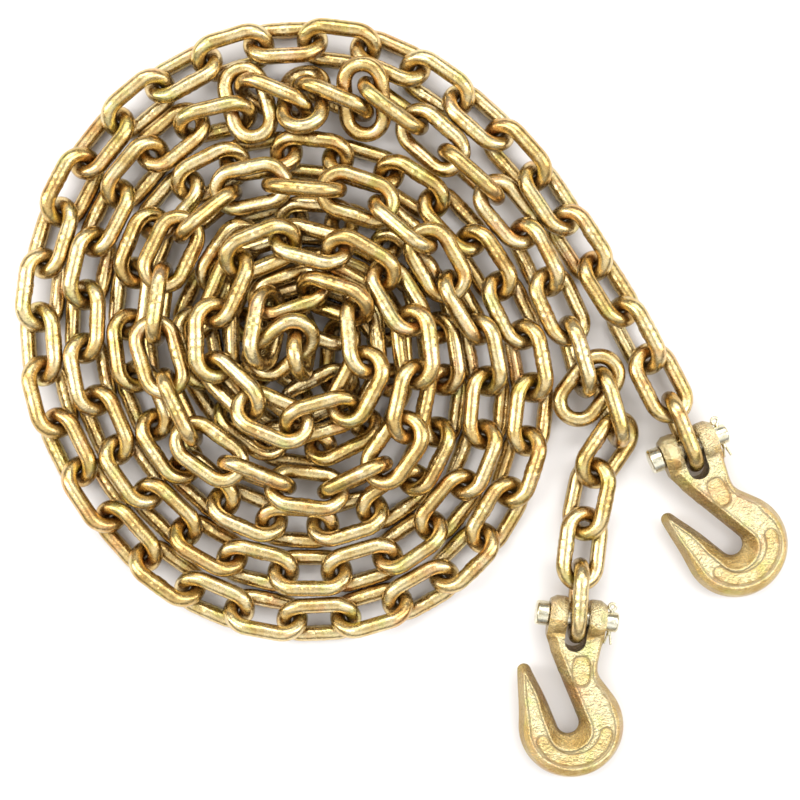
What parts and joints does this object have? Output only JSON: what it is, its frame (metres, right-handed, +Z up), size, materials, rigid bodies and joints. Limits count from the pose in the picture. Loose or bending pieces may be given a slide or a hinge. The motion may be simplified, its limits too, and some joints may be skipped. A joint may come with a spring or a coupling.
{
  "type": "binder chain with clevis grab hooks",
  "caption": "Coiled length of welded steel binder chain in yellow zinc plate, with a clevis grab hook, pin and cotter on each end.",
  "frame": {"origin": "on the ground under the middle of the coiled chain's bounding box", "axes": "+Z up out of the ground the chain lies on; both hooks point to -Y, +X is the side the hooks lie on"},
  "size_m": [0.4917, 0.4838, 0.0539],
  "materials": {
    "chain_plating": "satin",
    "hook_plating": "satin",
    "pin_plating": "satin"
  },
  "bodies": {
    "coil": {"coil_links_01": "chain_plating", "coil_links_02": "chain_plating", "coil_links_03": "chain_plating", "coil_links_04": "chain_plating", "coil_links_05": "chain_plating", "coil_links_06": "chain_plating", "coil_links_07": "chain_plating", "coil_links_08": "chain_plating", "coil_links_09": "chain_plating", "coil_links_10": "chain_plating", "coil_links_11": "chain_plating", "coil_links_12": "chain_plating", "coil_links_13": "chain_plating", "coil_links_14": "chain_plating", "coil_links_15": "chain_plating", "coil_links_16": "chain_plating", "coil_links_17": "chain_plating", "coil_links_18": "chain_plating", "coil_links_19": "chain_plating", "coil_links_20": "chain_plating", "coil_links_21": "chain_plating", "coil_links_22": "chain_plating", "coil_links_23": "chain_plating", "coil_links_24": "chain_plating", "coil_links_25": "chain_plating", "coil_links_26": "chain_plating", "coil_links_27": "chain_plating", "coil_links_28": "chain_plating", "coil_links_29": "chain_plating", "coil_links_30": "chain_plating", "coil_links_31": "chain_plating", "coil_links_32": "chain_plating", "coil_links_33": "chain_plating", "coil_links_34": "chain_plating", "coil_links_35": "chain_plating", "coil_links_36": "chain_plating", "coil_links_37": "chain_plating", "coil_links_38": "chain_plating", "coil_links_39": "chain_plating", "coil_links_40": "chain_plating", "coil_links_41": "chain_plating", "coil_links_42": "chain_plating", "coil_links_43": "chain_plating", "coil_links_44": "chain_plating"},
    "link_a5": {"end_link_a5": "chain_plating"},
    "link_a4": {"end_link_a4": "chain_plating"},
    "link_a3": {"end_link_a3": "chain_plating"},
    "link_a2": {"end_link_a2": "chain_plating"},
    "link_a1": {"end_link_a1": "chain_plating"},
    "hook_a": {"grab_hook_a": "hook_plating"},
    "pin_a": {"clevis_pin_a": "pin_plating", "cotter_pin_a": "pin_plating"},
    "link_b4": {"end_link_b4": "chain_plating"},
    "link_b3": {"end_link_b3": "chain_plating"},
    "link_b2": {"end_link_b2": "chain_plating"},
    "link_b1": {"end_link_b1": "chain_plating"},
    "hook_b": {"grab_hook_b": "hook_plating"},
    "pin_b": {"clevis_pin_b": "pin_plating", "cotter_pin_b": "pin_plating"}
  },
  "joints": [
    {"name": "link_a5_swing", "type": "hinge", "parent": "coil", "child": "link_a5", "pos_m": [0.10599, 0.1088, 0.01296], "axis": [-0.5367, -0.3462, 0.7695], "range_deg": [0, 30]},
    {"name": "link_a4_swing", "type": "hinge", "parent": "link_a5", "child": "link_a4", "pos_m": [0.11912, 0.08906, 0.01262], "axis": [-0.6711, -0.3822, 0.6353], "range_deg": [0, 30]},
    {"name": "link_a3_swing", "type": "hinge", "parent": "link_a4", "child": "link_a3", "pos_m": [0.14243, 0.05065, 0.01485], "axis": [-0.7162, -0.377, 0.5873], "range_deg": [0, 35]},
    {"name": "link_a2_swing", "type": "hinge", "parent": "link_a3", "child": "link_a2", "pos_m": [0.15878, 0.02039, 0.01537], "axis": [0.2641, 0.1872, 0.9462], "range_deg": [-10, 8]},
    {"name": "link_a1_swing", "type": "hinge", "parent": "link_a2", "child": "link_a1", "pos_m": [0.1731, -0.01025, 0.01743], "axis": [-0.9304, -0.3665, 0], "range_deg": [0, 35]},
    {"name": "hook_a_swing", "type": "hinge", "parent": "link_a1", "child": "hook_a", "pos_m": [0.18121, -0.03082, 0.0173], "axis": [-0.9304, -0.3665, 0], "range_deg": [0, 75]},
    {"name": "pin_a_turn", "type": "hinge", "parent": "hook_a", "child": "pin_a", "pos_m": [0.18121, -0.03082, 0.0173], "axis": [0.9304, 0.3665, 0], "continuous": true},
    {"name": "link_b4_swing", "type": "hinge", "parent": "coil", "child": "link_b4", "pos_m": [0.1364, -0.02559, 0.01126], "axis": [-0.4879, 0.233, -0.8412], "range_deg": [0, 24]},
    {"name": "link_b3_swing", "type": "hinge", "parent": "link_b4", "child": "link_b3", "pos_m": [0.12068, -0.05271, 0.01286], "axis": [-0.6235, 0.1268, 0.7715], "range_deg": [0, 30]},
    {"name": "link_b2_swing", "type": "hinge", "parent": "link_b3", "child": "link_b2", "pos_m": [0.11533, -0.08596, 0.01401], "axis": [-0.4082, -0.0461, -0.9118], "range_deg": [0, 30]},
    {"name": "link_b1_swing", "type": "hinge", "parent": "link_b2", "child": "link_b1", "pos_m": [0.1118, -0.1175, 0.01718], "axis": [-0.998, 0.0627, 0], "range_deg": [0, 35]},
    {"name": "hook_b_swing", "type": "hinge", "parent": "link_b1", "child": "hook_b", "pos_m": [0.11047, -0.13855, 0.0173], "axis": [-0.9912, 0.1322, 0], "range_deg": [0, 75]},
    {"name": "pin_b_turn", "type": "hinge", "parent": "hook_b", "child": "pin_b", "pos_m": [0.11047, -0.13855, 0.0173], "axis": [0.9912, -0.1322, 0], "continuous": true}
  ]
}
